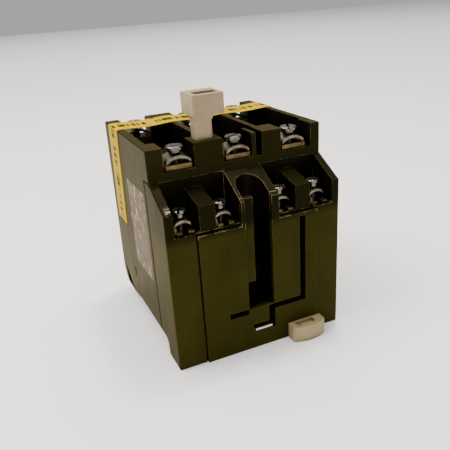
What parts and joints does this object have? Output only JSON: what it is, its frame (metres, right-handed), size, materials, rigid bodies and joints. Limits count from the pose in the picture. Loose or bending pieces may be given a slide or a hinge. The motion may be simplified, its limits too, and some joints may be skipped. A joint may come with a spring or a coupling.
{
  "type": "industrial control relay",
  "caption": "Block-shaped control relay on a rail base, with slotted clamp screws on top, a stepped front with smaller terminals and an upright plug-in marker holder.",
  "frame": {"origin": "bottom centre of the whole part's box, clip and marker holder included, on the plane that its feet stand on", "axes": "+X along the row of poles, +Y from the stepped front with the small terminals to the back, +Z out of the mounting plane towards the pole terminals"},
  "size_m": [0.0754, 0.0876, 0.1045],
  "materials": {
    "housing_phenolic": "satin moulded phenolic, dark olive brown",
    "front_phenolic": "satin moulded phenolic, dark olive",
    "base_phenolic": "matt moulded phenolic, near black",
    "carrier_plastic": "matt moulded plastic, black",
    "bobbin_plastic": "matt moulded plastic, natural",
    "terminal_brass": "pale plated brass strip, slightly dull",
    "zinc_clamp": "zinc plated pressed steel",
    "zinc_screw": "zinc plated steel, bright",
    "contact_silver": "silver alloy contact tip",
    "bridge_copper": "copper strip",
    "core_steel": "laminated core steel, ground pole faces",
    "ring_copper": "copper shading ring",
    "winding_enamel": "enamelled copper wire under lacquer",
    "lead_insulation": "insulated hook-up wire",
    "pad_rubber": "soft rubber buffer",
    "spring_steel": "bright spring steel",
    "clip_ivory": "off-white moulded plastic",
    "holder_ivory": "ivory moulded plastic, satin",
    "tape_yellow": "yellow film tape",
    "plate_aluminium": "blank anodised rating plate"
  },
  "bodies": {
    "housing": {"main_housing": "housing_phenolic", "front_block": "front_phenolic", "front_plate": "front_phenolic", "base_plate": "base_phenolic", "arc_covers": "base_phenolic", "coil_bobbin": "bobbin_plastic", "front_terminal_1": "terminal_brass", "front_terminal_2": "terminal_brass", "front_terminal_3": "terminal_brass", "back_terminal_1": "terminal_brass", "back_terminal_2": "terminal_brass", "back_terminal_3": "terminal_brass", "small_terminal_1": "terminal_brass", "small_terminal_2": "terminal_brass", "small_terminal_3": "terminal_brass", "small_terminal_4": "terminal_brass", "housing_screws": "zinc_screw", "block_screws": "zinc_screw", "fixed_tips": "contact_silver", "magnet_core": "core_steel", "shading_rings": "ring_copper", "coil_winding": "winding_enamel", "coil_leads": "lead_insulation", "core_pads": "pad_rubber", "return_springs": "spring_steel", "clip_spring": "spring_steel", "retaining_clip": "spring_steel", "seal_tape": "tape_yellow", "rating_plate": "plate_aluminium"},
    "carrier": {"contact_carrier": "carrier_plastic", "contact_bridge_1": "bridge_copper", "contact_bridge_2": "bridge_copper", "contact_bridge_3": "bridge_copper", "aux_bridge": "bridge_copper", "bridge_tips": "contact_silver", "contact_springs": "spring_steel", "armature": "core_steel", "armature_pin": "core_steel"},
    "clip": {"rail_clip": "clip_ivory"},
    "holder": {"marker_holder": "holder_ivory"},
    "front_clamp_body_1": {"front_clamp_1": "zinc_clamp"},
    "front_screw_body_1": {"front_screw_1": "zinc_screw"},
    "front_clamp_body_2": {"front_clamp_2": "zinc_clamp"},
    "front_screw_body_2": {"front_screw_2": "zinc_screw"},
    "front_clamp_body_3": {"front_clamp_3": "zinc_clamp"},
    "front_screw_body_3": {"front_screw_3": "zinc_screw"},
    "back_clamp_body_1": {"back_clamp_1": "zinc_clamp"},
    "back_screw_body_1": {"back_screw_1": "zinc_screw"},
    "back_clamp_body_2": {"back_clamp_2": "zinc_clamp"},
    "back_screw_body_2": {"back_screw_2": "zinc_screw"},
    "back_clamp_body_3": {"back_clamp_3": "zinc_clamp"},
    "back_screw_body_3": {"back_screw_3": "zinc_screw"},
    "small_clamp_body_1": {"small_clamp_1": "zinc_clamp"},
    "small_screw_body_1": {"small_screw_1": "zinc_screw"},
    "small_clamp_body_2": {"small_clamp_2": "zinc_clamp"},
    "small_screw_body_2": {"small_screw_2": "zinc_screw"},
    "small_clamp_body_3": {"small_clamp_3": "zinc_clamp"},
    "small_screw_body_3": {"small_screw_3": "zinc_screw"},
    "small_clamp_body_4": {"small_clamp_4": "zinc_clamp"},
    "small_screw_body_4": {"small_screw_4": "zinc_screw"}
  },
  "joints": [
    {"name": "carrier_stroke", "type": "slide", "parent": "housing", "child": "carrier", "axis": [0, 0, 1], "range_m": [-0.005, 0], "stiffness_N_per_m": 600, "springref_m": 0.008, "deforming": ["return_springs"]},
    {"name": "clip_pull", "type": "slide", "parent": "housing", "child": "clip", "axis": [0, -1, 0], "range_m": [0, 0.004], "stiffness_N_per_m": 800, "springref_m": -0.003, "deforming": ["clip_spring"]},
    {"name": "holder_pull", "type": "slide", "parent": "housing", "child": "holder", "axis": [0, 0, 1], "range_m": [0, 0.012]},
    {"name": "front_clamp_travel_1", "type": "slide", "parent": "housing", "child": "front_clamp_body_1", "axis": [0, 0, 1], "range_m": [-0.00035, 0.00105]},
    {"name": "front_screw_turn_1", "type": "hinge", "parent": "front_clamp_body_1", "child": "front_screw_body_1", "pos_m": [-0.0245, -0.01714, 0.08], "axis": [0, 0, 1], "range_deg": [-180, 540]},
    {"name": "front_clamp_travel_2", "type": "slide", "parent": "housing", "child": "front_clamp_body_2", "axis": [0, 0, 1], "range_m": [-0.00035, 0.00105]},
    {"name": "front_screw_turn_2", "type": "hinge", "parent": "front_clamp_body_2", "child": "front_screw_body_2", "pos_m": [0.0002, -0.01714, 0.08], "axis": [0, 0, 1], "range_deg": [-180, 540]},
    {"name": "front_clamp_travel_3", "type": "slide", "parent": "housing", "child": "front_clamp_body_3", "axis": [0, 0, 1], "range_m": [-0.00035, 0.00105]},
    {"name": "front_screw_turn_3", "type": "hinge", "parent": "front_clamp_body_3", "child": "front_screw_body_3", "pos_m": [0.0252, -0.01714, 0.08], "axis": [0, 0, 1], "range_deg": [-180, 540]},
    {"name": "back_clamp_travel_1", "type": "slide", "parent": "housing", "child": "back_clamp_body_1", "axis": [0, 0, 1], "range_m": [-0.00035, 0.00105]},
    {"name": "back_screw_turn_1", "type": "hinge", "parent": "back_clamp_body_1", "child": "back_screw_body_1", "pos_m": [-0.0245, 0.03687, 0.08], "axis": [0, 0, 1], "range_deg": [-180, 540]},
    {"name": "back_clamp_travel_2", "type": "slide", "parent": "housing", "child": "back_clamp_body_2", "axis": [0, 0, 1], "range_m": [-0.00035, 0.00105]},
    {"name": "back_screw_turn_2", "type": "hinge", "parent": "back_clamp_body_2", "child": "back_screw_body_2", "pos_m": [0.0002, 0.03687, 0.08], "axis": [0, 0, 1], "range_deg": [-180, 540]},
    {"name": "back_clamp_travel_3", "type": "slide", "parent": "housing", "child": "back_clamp_body_3", "axis": [0, 0, 1], "range_m": [-0.00035, 0.00105]},
    {"name": "back_screw_turn_3", "type": "hinge", "parent": "back_clamp_body_3", "child": "back_screw_body_3", "pos_m": [0.0252, 0.03687, 0.08], "axis": [0, 0, 1], "range_deg": [-180, 540]},
    {"name": "small_clamp_travel_1", "type": "slide", "parent": "housing", "child": "small_clamp_body_1", "axis": [0, 0, 1], "range_m": [-0.001, 0]},
    {"name": "small_screw_turn_1", "type": "hinge", "parent": "small_clamp_body_1", "child": "small_screw_body_1", "pos_m": [-0.0291, -0.02914, 0.06], "axis": [0, 0, 1], "range_deg": [-720, 0]},
    {"name": "small_clamp_travel_2", "type": "slide", "parent": "housing", "child": "small_clamp_body_2", "axis": [0, 0, 1], "range_m": [-0.001, 0]},
    {"name": "small_screw_turn_2", "type": "hinge", "parent": "small_clamp_body_2", "child": "small_screw_body_2", "pos_m": [-0.0126, -0.02914, 0.06], "axis": [0, 0, 1], "range_deg": [-720, 0]},
    {"name": "small_clamp_travel_3", "type": "slide", "parent": "housing", "child": "small_clamp_body_3", "axis": [0, 0, 1], "range_m": [-0.001, 0]},
    {"name": "small_screw_turn_3", "type": "hinge", "parent": "small_clamp_body_3", "child": "small_screw_body_3", "pos_m": [0.0132, -0.02914, 0.06], "axis": [0, 0, 1], "range_deg": [-720, 0]},
    {"name": "small_clamp_travel_4", "type": "slide", "parent": "housing", "child": "small_clamp_body_4", "axis": [0, 0, 1], "range_m": [-0.001, 0]},
    {"name": "small_screw_turn_4", "type": "hinge", "parent": "small_clamp_body_4", "child": "small_screw_body_4", "pos_m": [0.0294, -0.02914, 0.06], "axis": [0, 0, 1], "range_deg": [-720, 0]}
  ],
  "couplings": [
    {"joint": "front_screw_turn_1", "follows": "front_clamp_travel_1", "rad_per_m": 8975.9},
    {"joint": "front_screw_turn_2", "follows": "front_clamp_travel_2", "rad_per_m": 8975.9},
    {"joint": "front_screw_turn_3", "follows": "front_clamp_travel_3", "rad_per_m": 8975.9},
    {"joint": "back_screw_turn_1", "follows": "back_clamp_travel_1", "rad_per_m": 8975.9},
    {"joint": "back_screw_turn_2", "follows": "back_clamp_travel_2", "rad_per_m": 8975.9},
    {"joint": "back_screw_turn_3", "follows": "back_clamp_travel_3", "rad_per_m": 8975.9},
    {"joint": "small_screw_turn_1", "follows": "small_clamp_travel_1", "rad_per_m": 12566},
    {"joint": "small_screw_turn_2", "follows": "small_clamp_travel_2", "rad_per_m": 12566},
    {"joint": "small_screw_turn_3", "follows": "small_clamp_travel_3", "rad_per_m": 12566},
    {"joint": "small_screw_turn_4", "follows": "small_clamp_travel_4", "rad_per_m": 12566}
  ]
}
